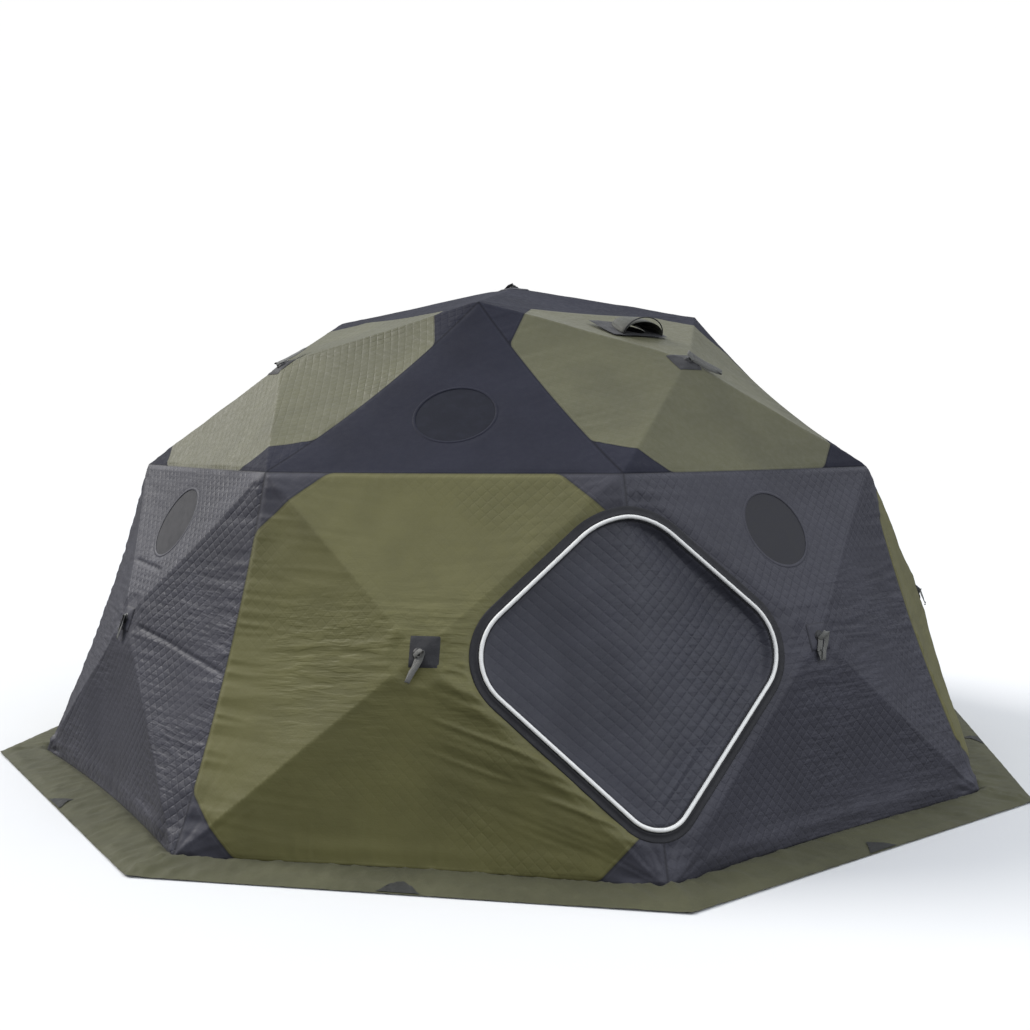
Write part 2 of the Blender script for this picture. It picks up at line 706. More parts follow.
panels = {f"wall_{k}": Panel(f"wall_{k}", wall_corners(k), WALL_POP, WALL_HUB_LEVEL) for k in WALLS}
for k in ODD:
    name = f"roof_quarter_{k}"
    panels[name] = Panel(name, quarter_corners(k), ROOF_POP, ROOF_HUB_LEVEL)
for k in EVEN:
    name = f"roof_triangle_{k}"
    panels[name] = Panel(name, triangle_corners(k), 0.0, 1 / 3)
crown_corners = [("crown", azimuth) for azimuth in (-22.5, 67.5, 157.5, -112.5)]
panels["crown_panel"] = Panel("crown_panel", crown_corners, CROWN_POP, 0.5)


def fillet(corner, before, after, radius, segments):
    """Points and outward normals along the arc that rounds a convex corner of a flat outline."""
    to_before, to_after = unit(before - corner), unit(after - corner)
    half = math.acos(np.clip(to_before @ to_after, -1, 1)) / 2
    centre = corner + unit(to_before + to_after) * radius / math.sin(half)
    outward = unit(corner - centre)
    sweep = math.pi / 2 - half
    made = []
    for turn in np.linspace(-sweep, sweep, segments + 1):
        c, s = math.cos(turn), math.sin(turn)
        normal = np.array([outward[0] * c - outward[1] * s, outward[0] * s + outward[1] * c])
        made.append((centre + normal * radius, normal))
    return made


def door_outline(offset, segments=24):
    """The door's outline as (across, up) points, anticlockwise from outside, moved outwards."""
    tips = [(0, -DOOR_BELOW), (DOOR_HALF_ACROSS, 0), (0, DOOR_ABOVE), (-DOOR_HALF_ACROSS, 0)]
    radii = [DOOR_FOOT_RADIUS, DOOR_SIDE_RADIUS, DOOR_TOP_RADIUS, DOOR_SIDE_RADIUS]
    tips = [np.array(tip, float) for tip in tips]
    outline = []
    for index, (tip, radius) in enumerate(zip(tips, radii)):
        for point, normal in fillet(tip, tips[index - 1], tips[(index + 1) % 4], radius, segments):
            outline.append(point + normal * offset)
    return np.array(outline)


class DoorCorner:
    """The two facets that meet in the corner seam, unfolded into (across, up) coordinates."""

    def __init__(self, right_wall, left_wall):
        self.foot = right_wall.points[0]
        self.up = unit(right_wall.points[3] - self.foot)
        self.right, self.left = self.across(right_wall.hub), self.across(left_wall.hub)
        self.right_normal = np.cross(self.right, self.up)
        self.left_normal = np.cross(self.up, self.left)
        self.outward = unit(self.right_normal + self.left_normal)

    def across(self, hub):
        reach = hub - self.foot
        return unit(reach - self.up * (reach @ self.up))

    def place(self, flat, depth, ease=0.0):
        """Where flat points lie, depth outside the facets, with the fold eased over a width."""
        flat = np.asarray(flat, float)
        depth = np.broadcast_to(depth, len(flat))
        tangent = unit(self.right - self.left)
        back = self.right - tangent * (self.right @ tangent)
        width = np.sqrt(flat[:, 0] ** 2 + ease**2)
        made = self.foot + self.up * (DOOR_LEVEL + flat[:, 1])[:, None]
        made = made + tangent * (flat[:, 0] * (self.right @ tangent))[:, None] + back * width[:, None]
        turn = smoothstep((flat[:, 0] / max(ease, 1e-4) + 1) / 2)[:, None]
        normal = self.left_normal * (1 - turn) + self.right_normal * turn
        normal /= np.linalg.norm(normal, axis=1)[:, None]
        return made + normal * depth[:, None]


door_corner = DoorCorner(panels["wall_1"], panels["wall_8"])


def door_on_panel(panel, offset):
    """The door's outline in a door wall's flat coordinates: only its own half is exact."""
    outline = resampled(door_outline(offset), SPACING, closed=True)
    side = outline[:, 0] >= 0 if panel.name == "wall_1" else outline[:, 0] <= 0
    made = panel.flatten(door_corner.place(outline, 0.0))
    # The far half is pushed past the seam, so that the outline still closes round the cut.
    seam_at = panel.flatten(door_corner.place(outline * (0, 1), 0.0))
    beyond = 0.3 if panel.name == "wall_8" else -0.3
    made[~side] = seam_at[~side] + (beyond, 0)
    return made


def corner_patch(panel, index, before, after):
    """The rounded line that cuts off a panel's corner, at distances along its two edges."""
    corner = panel.flat[index]
    back = unit(panel.flat[index - 1] - corner)
    ahead = unit(panel.flat[(index + 1) % len(panel.flat)] - corner)
    start, end = corner + back * before, corner + ahead * after
    line = unit(end - start)
    ease = 0.026
    rows = []
    for anchor, edge, inward in ((start, back, line), (end, ahead, -line)):
        shares = np.linspace(0, 1, 8)[:, None]
        outer, inner = anchor + edge * ease, anchor + inward * ease
        bend = outer * (1 - shares) ** 2 + 2 * anchor * shares * (1 - shares) + inner * shares**2
        rows.append(bend)
    return np.vstack([rows[0], rows[1][::-1]])


PATCHES = {"wall": ((0.25, 0.24), (0.25, 0.25), (0.23, 0.25), (0.27, 0.255)),
           "quarter": ((0.25, 0.255), (0.285, 0.26), (0.31, 0.31), (0.31, 0.32))}


def quilting(u, v, cell):
    """Puffed diamonds, from 0 on their stitched edges to 1 in the middle."""
    lean, back = (u + v) / cell, (u - v) / cell
    return (np.abs(np.sin(np.pi * lean)) * np.abs(np.sin(np.pi * back))) ** 0.55


def bearing(flat, centre):
    """Each point's distance from the centre, and its direction."""
    away = flat - centre
    return np.linalg.norm(away, axis=1), np.arctan2(away[:, 1], away[:, 0])


def bell(value, width):
    """1 where the value is 0, fading out over a width."""
    return np.exp(-((value / width) ** 2))


def looseness(panel, flat, kind, colour):
    """Where the cloth is slack: how strongly its ripples and its quilting show, from 0 to 1."""
    seed = sum(ord(letter) for letter in panel.name)
    u, v = flat[:, 0], flat[:, 1]
    slack = SLACKNESS.get(panel.name, SLACKNESS.get(kind, SLACKNESS.get(f"{kind}_{colour}")))
    patchy = smoothstep(0.5 + 0.8 * fractal(u / 0.30, v / 0.30, seed, 2))
    ripple = slack * (0.30 + 0.70 * patchy)
    quilt = slack * (0.40 + 0.60 * smoothstep(0.5 + 0.8 * fractal(u / 0.34, v / 0.34, seed + 9, 2)))
    if kind == "wall":
        ripple *= 0.25 + 0.75 * smoothstep((1.22 - v) / 0.35)
        if colour == "olive":
            near_hub = bell(v - panel.middle[1], 0.30) * smoothstep((0.75 - np.abs(u)) / 0.25)
            ripple = np.clip(ripple * (0.20 + 2.0 * near_hub), 0, 1)
            quilt *= 0.25 + 0.75 * smoothstep(0.4 + 1.2 * fractal(u / 0.45, v / 0.30, seed + 19, 2))
    else:
        ripple *= 0.30
    return ripple, quilt


def relief(panel, flat, kind, door_edge, window, quilt):
    """How far the cloth stands out from its drawn surface: quilting, gathers, folds and waves."""
    seed = sum(ord(letter) * (place + 3) for place, letter in enumerate(panel.name)) * 31
    gaps, runs = panel.edge_gaps(flat)
    seam = np.min(gaps, axis=0)
    u, v = flat[:, 0], flat[:, 1]
    height = QUILT_DEPTH * quilt * quilting(u, v, QUILT_CELL)
    height += 0.0045 * fractal(u / 0.42, v / 0.42, seed)
    strength = {"wall": 1.0, "quarter": 0.55, "triangle": 0.2, "crown": 0.4}[kind]
    reaches = {"side": 0.26, "foot": 0.10, "top": 0.09}
    depths = {"side": 0.0062, "foot": 0.0040, "top": 0.0022}
    for index, (gap, run) in enumerate(zip(gaps, runs)):
        place = "foot" if index == 0 else "top" if index == 2 and len(gaps) == 4 else "side"
        pull = strength * depths[place] * np.exp(-gap / reaches[place])
        height += pull * folds(run / 0.050, gap / 0.42, seed + 11 * index)
    for index, corner in enumerate(panel.flat):
        distance, angle = bearing(flat, corner)
        ground = kind == "wall" and index < 2
        pull = strength * (0.014 if ground else 0.005) * np.exp(-distance / 0.20)
        pull *= smoothstep(distance / 0.10)
        height += pull * folds(angle / 0.17, distance / 0.5, seed + 101 * index)
        if ground:
            height -= 0.014 * bell(distance - 0.13, 0.07)
    if panel.pop:
        distance, angle = bearing(flat, panel.middle)
        height += strength * 0.004 * np.exp(-distance / 0.16) * folds(angle / 0.30, distance / 0.6, seed + 5)
    if kind == "wall":
        level = v - panel.middle[1]
        band = bell(level, 0.16) * np.exp(-np.abs(u) / 0.45)
        height += 0.0080 * band * folds(level / 0.034, u / 0.34, seed + 61)
        bulge = bell(v - 0.060, 0.030) * (0.6 + 0.4 * value_noise(u / 0.3, v / 0.3, seed + 71))
        height += (0.011 if int(panel.name[-1]) in ODD else 0.004) * bulge
    if panel.pop:
        height *= smoothstep((distance - 0.085) / 0.05)
    if panel.name == "wall_7":
        slope = v - panel.middle[1] + 0.10 * u
        height -= TUCK_DEPTH * bell(slope, 0.009) * smoothstep((u - 0.08) / 0.10)
        slope = v - 1.035 + 0.05 * u
        height -= TUCK_DEPTH * bell(slope, 0.010) * smoothstep((0.20 - np.abs(u + 0.05)) / 0.05)
    if panel.name == "wall_8":
        gap = distance_to(flat, door_edge, closed=True)
        lower = smoothstep((0.84 - v) / 0.20) * smoothstep((v - 0.06) / 0.12) * smoothstep((u + 0.10) / 0.30)
        cross = v + 0.31 * u
        drag = 0.019 * np.exp(-gap / 0.17) * lower
        height += drag * folds(cross / 0.042, (u - 0.3 * v) / 0.55, seed + 900) ** 1.5
    fade = smoothstep(seam / 0.022)
    if door_edge is not None:
        fade = fade * smoothstep((distance_to(flat, door_edge, closed=True) - 0.002) / 0.03)
    if window is not None:
        rim = np.hypot(u - window[0], v - window[1]) - window[2]
        fade = fade * smoothstep((rim - BINDING * 0.5) / 0.03)
    return height * fade, seam


def blend_with_hub(obj):
    """The piece follows the shelter at its rim and the hub in the middle. depth is how far under the
    cloth it lies, so that it moves with the cloth right over it."""
    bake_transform(obj)


def attach(obj, hub):
    """Blends a panel's piece with its hub, or rides it on the shelter where there is none."""
    if hub is None:
        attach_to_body(obj, "shelter")
    else:
        blend_with_hub(obj)


def cloth_panel(panel, kind, colour, hub, window=None, vent=None):
    """One panel's sheet, with its corner patches, and holes for its window, vent or the door."""
    spacing = FINE_SPACING if panel.name in FINE_PANELS else SPACING
    lines = panel.creases(spacing)
    holes, polygons = [], []
    door_edge = None
    if panel.name in DOOR_WALLS:
        door_edge = door_on_panel(panel, SURROUND_WIDTH - 0.008)
        holes.append(door_edge)
    if window is not None:
        holes.append(circle(window[:2], window[2], WINDOW_SIDES))
    if vent is not None:
        holes.append(circle(vent, VENT_RADIUS, VENT_SIDES))
    two_tone = "olive" in colour
    if two_tone:
        for index, (before, after) in enumerate(PATCHES[kind]):
            line = corner_patch(panel, index, before, after)
            polygons.append(np.vstack([line, panel.flat[index][None]]))
            lines.append(resampled(line, spacing)[1:-1])
    if door_edge is not None:
        lines = [line[distance_to(line, door_edge, closed=True) > SPACING / 2] for line in lines]
    flat, faces = triangulated(panel.outline(spacing), spacing, lines, holes)
    ripple, quilt = looseness(panel, flat, kind, colour)
    height, seam = relief(panel, flat, kind, door_edge, window, quilt)
    points = panel.place(flat) + panel.normal * height[:, None]
    middles = flat[faces].mean(axis=1)
    slots = np.zeros(len(faces), int)
    for polygon in polygons:
        slots[inside(middles, polygon)] = 1
    for polygon in polygons:
        seam = np.minimum(seam, distance_to(flat, polygon[:-1]))
    cloth = np.column_stack([flat, seam])
    corner_cloth = materials["dark" if kind == "wall" else "roof_dark"]
    looks = [materials[colour], corner_cloth] if two_tone else [materials[colour]]
    marks = np.column_stack([ripple, quilt])
    obj = new_piece(f"cloth_{panel.name}", points, faces, looks, slots if two_tone else None, cloth, marks)
    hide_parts(panel.name)
    attach(obj, hub)


def window_pane(panel, window, node, hub):
    """The round film of a window, with the binding sewn over its rim."""
    centre, radius = np.array(window[:2]), window[2]
    rim = circle(centre, radius + 0.004, WINDOW_SIDES)
    flat, faces = triangulated(rim, 0.018)
    pane = panel.place(flat) - panel.normal * 0.0012
    rings = []
    profile = [(-0.004, 0.0), (-0.003, 0.0012), (0.003, 0.0017), (0.008, 0.0012), (0.0095, -0.0005)]
    for offset, lift in profile:
        ring = circle(centre, radius + offset, WINDOW_SIDES)
        rings.append(panel.place(ring) + panel.normal * lift)
    band = [[len(pane) + index for index in face] for face in ring_faces(len(profile) - 1, WINDOW_SIDES)]
    # Each face runs the other way round, because its rings grow outwards.
    binding = [(a, d, c, b) for a, b, c, d in band]
    points = np.vstack([pane, *rings])
    cloth = np.column_stack([panel.flatten(points), np.full(len(points), 0.05)])
    slots = [0] * len(faces) + [1] * len(binding)
    looks = [materials[look] for look in (("film", "dark") if hub else ("roof_film", "roof_dark"))]
    obj = new_piece(f"pane_{node}", points, [*map(tuple, faces), *binding], looks, slots, cloth)
    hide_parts(node)
    attach(obj, hub)


# ---------------------------------------------------------------- hubs, straps and poles


def turned(profile, segments):
    """Points and faces of a solid of revolution about z, from (radius, height) points."""
    turns = [360 * index / segments for index in range(segments)]
    points = [around(radius, turn, height) for radius, height in profile for turn in turns]
    return np.array(points), ring_faces(len(profile) - 1, segments)


def tube(path, radii, sides):
    """Points and faces of a round tube along a path, closed with flat ends."""
    path = np.asarray(path, float)
    radii = np.broadcast_to(radii, len(path))
    tangents = np.gradient(path, axis=0)
    side = np.cross(tangents[0], (0.31, 0.57, 0.76))
    points = []
    for point, tangent, radius in zip(path, tangents, radii):
        tangent = unit(tangent)
        side = unit(side - tangent * (side @ tangent))
        other = np.cross(tangent, side)
        for index in range(sides):
            turn = 2 * math.pi * index / sides
            points.append(point + radius * (side * math.cos(turn) + other * math.sin(turn)))
    return np.array(points), capped(len(path) - 1, sides)


def joined(shapes):
    """One list of points and one of faces from several."""
    points, faces, count = [], [], 0
    for more_points, more_faces in shapes:
        points.append(more_points)
        faces += [tuple(count + index for index in face) for face in more_faces]
        count += len(more_points)
    return np.vstack(points), faces


def curve_through(points, count):
    """A smooth path through a few points (Catmull-Rom)."""
    points = np.asarray(points, float)
    padded = np.vstack([2 * points[0] - points[1], points, 2 * points[-1] - points[-2]])
    spans = len(points) - 1
    made = []
    for at in np.linspace(0, spans, count):
        span = min(int(at), spans - 1)
        t = at - span
        a, b, c, d = padded[span : span + 4]
        made.append(0.5 * (2 * b + (c - a) * t + (2 * a - 5 * b + 4 * c - d) * t**2
                           + (3 * b - a - 3 * c + d) * t**3))
    return np.array(made)


def ribbon(path, widths, half_width, thickness):
    """Points and faces of a flat strap with rounded edges along a path."""
    tangents = np.gradient(path, axis=0)
    section = [(-1, 0), (-0.9, 0.5), (0, 0.5), (0.9, 0.5), (1, 0), (0.9, -0.5), (0, -0.5), (-0.9, -0.5)]
    points = []
    for point, tangent, width in zip(path, tangents, widths):
        tangent = unit(tangent)
        width = unit(width - tangent * (width @ tangent))
        lift = np.cross(tangent, width)
        points += [point + width * a * half_width + lift * b * thickness for a, b in section]
    return np.array(points), capped(len(path) - 1, len(section))


def hub_frame(panel):
    """Local (right, up, out) coordinates at a hub, as a function to the row frame."""
    axes = np.array([panel.right, panel.up, panel.normal])
    return lambda points: panel.hub + np.asarray(points, float) @ axes


def hub_block(panel, tag):
    """The moulded hub inside, its post, and the eyelet, washer and bolt head outside."""
    to_row = hub_frame(panel)
    block = [(0.0, -0.064), (0.041, -0.064), (0.045, -0.061), (0.045, -0.055), (0.043, -0.053),
             (0.020, -0.053), (0.013, -0.048), (0.011, -0.034), (0.020, -0.029), (0.041, -0.029),
             (0.045, -0.027), (0.044, -0.022), (0.030, -0.019), (0.012, -0.016), (0.009, -0.010),
             (0.009, 0.002), (0.021, 0.0025), (0.022, 0.004), (0.018, 0.0065), (0.009, 0.0070),
             (0.0085, 0.0095), (0.006, 0.0115), (0.0, 0.012)]
    shapes = [turned(block, 28)]
    ring = [(0.0135, 0.0005), (0.0150, 0.0042), (0.0195, 0.0045), (0.0245, 0.0022), (0.0255, 0.0)]
    shapes.append(turned(ring, 28))
    for index in range(8):
        turn = math.radians(45 * index + 22.5)
        way = np.array([math.cos(turn), math.sin(turn), 0])
        rib = [way * 0.012 + (0, 0, -0.050), way * 0.040 + (0, 0, -0.0525)]
        shapes.append(tube(rib, [0.0028, 0.0018], 6))
    points, faces = joined(shapes)
    obj = new_piece(f"block_{tag}", to_row(points), faces, [materials["plastic"]])
    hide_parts(f"hub_{tag}")
    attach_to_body(obj, f"hub_{tag}")


def pull_strap(panel, tag, aim, length, spread, rise, tilt=0.25):
    """The webbing loop pulled to pop the hub: it folds over at the eyelet and hangs along the cloth."""
    to_row = hub_frame(panel)
    turn = math.radians(aim)
    down = np.array([math.cos(turn), math.sin(turn), 0])
    side = np.array([-down[1], down[0], 0])
    fall = -panel.pop / np.linalg.norm(panel.middle - panel.flat[0])
    out = np.array([0, 0, 1.0])

    def at(along, across, lift):
        height = 0.012 + (lift - 0.012) * rise + max(along, 0) * fall * 0.75
        return down * along + side * across + out * height

    outer = [at(0.016, -0.010, 0.010), at(0.004, -0.004, 0.022), at(-0.012, 0.006, 0.030),
             at(-0.014, 0.016, 0.027), at(0.012, 0.020, 0.020), at(0.045, 0.016, 0.017),
             at(length * 0.62, 0.012, 0.018), at(length, 0.008, 0.020)]
    inner = [at(length + 0.006, 0.006, 0.014), at(length * 0.70, 0.002 - spread, 0.010),
             at(0.060, 0.004 - spread * 1.4, 0.010), at(0.020, 0.002 - spread, 0.012),
             at(0.006, -0.002, 0.006)]
    path = curve_through(outer + inner, STRAP_RINGS)
    across = side * 0.92 + out * tilt
    top = down * 0.55 + side * 0.75 + out * 0.15
    shares = smoothstep(np.linspace(0, 1, STRAP_RINGS) / 0.30)[:, None]
    widths = top * (1 - shares) + across * shares
    widths = widths + out * 0.28 * np.sin(np.linspace(0, 9, STRAP_RINGS))[:, None]
    points, faces = ribbon(path, widths, 0.0100, 0.0019)
    obj = new_piece(f"strap_{tag}", to_row(points), faces, [materials["webbing"]])
    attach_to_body(obj, f"hub_{tag}")


def hub_patch(panel, tag, low, high, colour):
    """The square of heavier cloth sewn over the hub, with a turned hem."""
    low, high = panel.middle + low, panel.middle + high
    corners = [low, (high[0], low[1]), high, (low[0], high[1])]
    outline = resampled(corners, 0.008, closed=True)
    hole = circle(panel.middle, 0.0125, 20)
    flat, faces = triangulated(outline, 0.009, holes=[hole])
    gap = distance_to(flat, outline, closed=True)
    crumple = 0.0016 * value_noise(flat[:, 0] / 0.03, flat[:, 1] / 0.03, len(tag))
    hem = smoothstep((0.010 - gap) / 0.004) * smoothstep(gap / 0.002)
    lift = 0.0026 * smoothstep(gap / 0.004) + 0.0012 * hem
    points = panel.place(flat) + panel.normal * (lift + crumple * smoothstep(gap / 0.01) + 0.0014)[:, None]
    cloth = np.column_stack([flat, gap])
    obj = new_piece(f"patch_{tag}", points, faces, [materials[colour]], cloth=cloth)
    attach(obj, f"hub_{tag}")


def poles(panel, tag):
    """Four fibreglass rods from the hub to the corner pockets, and the collar that holds them."""
    shapes = []
    direction = [unit(np.append(corner - panel.middle, 0)) for corner in panel.flat]
    to_row = hub_frame(panel)
    for way, corner in zip(direction, panel.points):
        start = to_row(way * 0.0205 - (0, 0, ROD_DEPTH))
        reach = panel.hub - corner
        end = corner + reach * (0.085 / np.linalg.norm(reach)) - panel.normal * 0.030
        shares = np.linspace(0, 1, ROD_RINGS)[:, None]
        path = start * (1 - shares) + end * shares
        radii = np.full(ROD_RINGS, 0.0055)
        radii[-2:] = 0.0085
        radii[0] = 0.0075
        shapes.append(tube(path, radii, 10))
    ring = [(0.014, -0.0415), (0.027, -0.0415), (0.0275, -0.036), (0.027, -0.0305), (0.014, -0.0305),
            (0.014, -0.0415)]
    collar, collar_faces = turned(ring, 20)
    shapes.append((to_row(collar), collar_faces))
    points, faces = joined(shapes)
    obj = new_piece(f"rods_{tag}", points, faces, [materials["rod"]])
    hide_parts(f"poles_{tag}")
    blend_with_hub(obj)


def hub_set(panel, tag, kind):
    """A hub with its strap, its patch and its rods."""
    hub_block(panel, tag)
    pull_strap(panel, tag, *STRAPS.get(tag, STRAPS[kind]))
    hub_patch(panel, tag, *HUB_PATCHES[kind], "patch" if kind in ("olive", "roof") else "dark")
    poles(panel, tag)


# ---------------------------------------------------------------- door


def outline_rows(offsets, depths, count):
    """Rows of points along the door's outline at growing offsets, all of the same number."""
    plain = door_outline(0)
    steps = np.linalg.norm(np.diff(plain, axis=0, append=plain[:1]), axis=1)
    along = np.concatenate([[0], np.cumsum(steps)])
    wanted = np.linspace(0, along[-1], count, endpoint=False)
    rows = []
    for offset, depth in zip(offsets, depths):
        outline = door_outline(offset)
        closed = np.vstack([outline, outline[:1]])
        flat = np.stack([np.interp(wanted, along, closed[:, axis]) for axis in range(2)], axis=1)
        rows.append((flat, depth))
    return rows


def door_surround():
    """The tape round the door: a flat band, a raised hem at each edge and the zip's coil."""
    count = SURROUND_SIDES
    offsets = [-0.004, 0.0, 0.010, 0.018, 0.020, 0.026, 0.028, 0.040, 0.047, 0.052, 0.0535]
    depths = [-0.003, 0.0005, 0.0010, 0.0012, 0.0036, 0.0036, 0.0014, 0.0016, 0.0034, 0.0026, -0.001]
    loops, cloth = [], []
    for flat, depth in outline_rows(offsets, depths, count):
        ripple = 0.0012 * value_noise(flat[:, 0] / 0.05, flat[:, 1] / 0.05, 3)
        loops.append(door_corner.place(flat, depth + (ripple if depth > 0 else 0), 0.006))
        cloth.append(np.column_stack([flat, np.full(count, 0.05)]))
    points, faces = np.vstack(loops), ring_faces(len(loops) - 1, count)
    obj = new_piece("zip_surround", points, faces, [materials["tape"]], cloth=np.vstack(cloth))
    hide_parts("door_surround")
    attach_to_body(obj, "shelter")


def door_piping():
    """The white piping sewn round the door, a welt rather than a free cord."""
    outline = resampled(door_outline(PIPING_OFFSET), 0.012, closed=True)
    path = door_corner.place(outline, PIPING_RADIUS + 0.0004, 0.006)
    thick = PIPING_RADIUS * 1.15
    count, sides = len(path), 12
    tangents = np.roll(path, -1, axis=0) - np.roll(path, 1, axis=0)
    points = []
    for index, (point, tangent) in enumerate(zip(path, tangents)):
        tangent = unit(tangent)
        out = door_corner.outward - tangent * (door_corner.outward @ tangent)
        out = unit(out)
        side = np.cross(tangent, out)
        radius = thick * (1 + 0.03 * math.sin(index * 1.7))
        for turn in np.linspace(0, 2 * math.pi, sides, endpoint=False):
            points.append(point + radius * (side * math.cos(turn) + out * math.sin(turn)))
    faces = ring_faces(count, sides, closed=True)
    obj = new_piece("white_piping_welt", np.array(points), faces, [materials["piping"]])
    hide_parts("door_piping")
    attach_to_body(obj, "shelter")


def door_leaf():
    """The quilted leaf, slack inside its zip, creased along the side that it hangs from."""
    outline = resampled(door_outline(0.003), LEAF_SPACING, closed=True)
    flat, faces = triangulated(outline, LEAF_SPACING)
    gap = distance_to(flat, outline, closed=True)
    u, v = flat[:, 0], flat[:, 1]
    loose = smoothstep((u + 0.35) / 0.55) * (0.6 + 0.4 * smoothstep(0.5 + fractal(u / 0.3, v / 0.3, 70, 2)))
    height = 0.0026 * (0.30 + 0.70 * loose) * quilting(u, v, LEAF_CELL) - 0.0035
    height += 0.006 * fractal(u / 0.33, v / 0.33, 77)
    hinge = distance_to(flat, [(0.09, -0.63), (0.60, -0.10)])
    along = (u + v) / math.sqrt(2)
    crease = 0.012 * bell(hinge - 0.085, 0.055) * smoothstep((0.42 - np.abs(along + 0.10)) / 0.25)
    height += crease * (folds(hinge / 0.034, along / 0.30, 321) - 0.45)
    height -= 0.030 * smoothstep(gap / 0.035) * smoothstep((1.3 * u + v - 0.40) / 0.25)
    height -= 0.004 * smoothstep(gap / 0.06)
    height = height * smoothstep(gap / 0.02) - 0.0035
    points = door_corner.place(flat, height, 0.06)
    cloth = np.column_stack([flat, gap + 0.004])
    marks = np.column_stack([0.60 * loose, 0.30 + 0.70 * loose])
    obj = new_piece("quilted_leaf", points, faces, [materials["leaf"]], cloth=cloth, marks=marks)
    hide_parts("door_leaf")
    low = door_corner.place([(0.001, -DOOR_BELOW)], 0.0)[0]
    high = door_corner.place([(DOOR_HALF_ACROSS, 0.0)], 0.0)[0]
    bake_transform(obj)


# ---------------------------------------------------------------- vent and skirt


def vent_frame(panel):
    """(right, up, out) axes and centre of the vent on the quarter's upper facet."""
    top = (panel.points[2] + panel.points[3]) / 2
    up = unit(top - panel.hub)
    out = unit(np.cross(panel.points[3] - panel.points[2], panel.hub - panel.points[2]))
    right = np.cross(up, out)
    centre = top - up * VENT_DROP
    return np.array([right, up, out]), centre


def vent_to_row(panel, points, origin=(0, 0, 0)):
    """Points in the vent's own (right, up, out) frame, brought into the row frame."""
    axes, centre = vent_frame(panel)
    return centre + (np.asarray(points, float) + np.asarray(origin)) @ axes


def vent_screen(panel):
    """The insect mesh in the vent, sagging a little in its rim."""
    rim = circle((0, 0), VENT_RADIUS + 0.003, 40)
    flat, faces = triangulated(rim, 0.009)
    sag = -0.004 * (1 - (np.hypot(flat[:, 0], flat[:, 1]) / VENT_RADIUS) ** 2) - 0.002
    points = vent_to_row(panel, np.column_stack([flat, sag]))
    obj = new_piece("vent_screen", points, faces, [materials["mesh"]])
    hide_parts("vent_mesh")
    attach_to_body(obj, "vent_frame")


def vent_patch(panel):
    """The square of heavier cloth round the vent, which moves with the panel's cloth."""
    (left, low), (right, high) = VENT_PATCH
    outline = resampled([(left, low), (right, low), (right, high), (left, high)], 0.010, closed=True)
    hole = circle((0, 0), VENT_RADIUS - 0.002, VENT_SIDES)
    flat, faces = triangulated(outline, 0.012, holes=[hole])
    gap = distance_to(flat, outline, closed=True)
    crumple = value_noise(flat[:, 0] / 0.04, flat[:, 1] / 0.04, 5)
    lift = 0.003 + 0.0014 * smoothstep(gap / 0.004) + 0.0015 * crumple
    points = vent_to_row(panel, np.column_stack([flat, lift]))
    obj = new_piece("vent_patch", points, faces, [materials["patch"]], cloth=np.column_stack([flat, gap]))
    blend_with_hub(obj)


def vent_hood(panel):
    """The hood over the vent: a creased half dome that its bow holds open."""
    mouth = (0, -VENT_MOUTH_AHEAD, 0)
    columns, rows = HOOD_GRID
    points, faces = [], []
    for row in range(rows + 1):
        back = math.pi / 2 * row / rows
        for column in range(columns + 1):
            turn = math.pi * column / columns
            crease = 1 - 0.035 * math.sin(9 * turn) ** 2 * math.sin(2 * back)
            lip = 0.006 if row == 0 else 0.0
            across = (HOOD_HALF_WIDTH - 0.002) * math.cos(turn) * math.cos(back) * crease
            behind = HOOD_LENGTH * math.sin(back) - lip - 0.0015 * math.sin(5 * turn)
            rise = (HOOD_HEIGHT - 0.002) * math.sin(turn) * math.cos(back) * crease
            points.append((across, behind, rise + 0.0035))
    width = columns + 1
    for row in range(rows):
        for column in range(columns):
            at = row * width + column
            faces.append((at, at + 1, at + width + 1, at + width))
    obj = new_piece("hood_cloth_piece", vent_to_row(panel, points, mouth), faces, [materials["hood"]])
    shell = obj.modifiers.new("cloth thickness", "SOLIDIFY")
    shell.thickness = 0.0018
    shell.offset = -1
    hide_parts("vent_hood")
    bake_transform(obj)


def ground_line(number):
    """The foot of a wall in plan, drawn in as its seam is."""
    first, second = wall_corners(number)[:2]
    a, b, dip = spot(first), spot(second), seam_dip(first, second)
    shares = np.linspace(0, 1, 40, endpoint=False)[:, None]
    return (a * (1 - shares) + b * shares + 4 * shares * (1 - shares) * dip)[:, :2]


SKIRT_FOOT = np.vstack([ground_line(number) for number in WALLS])
SKIRT_CORNERS = np.array([around(SKIRT_OUTER, STEP * index, 0)[:2] for index in range(8)])
FOOT_CORNERS = np.array([around(LEVELS["ground"][0], STEP * index, 0)[:2] for index in range(8)])


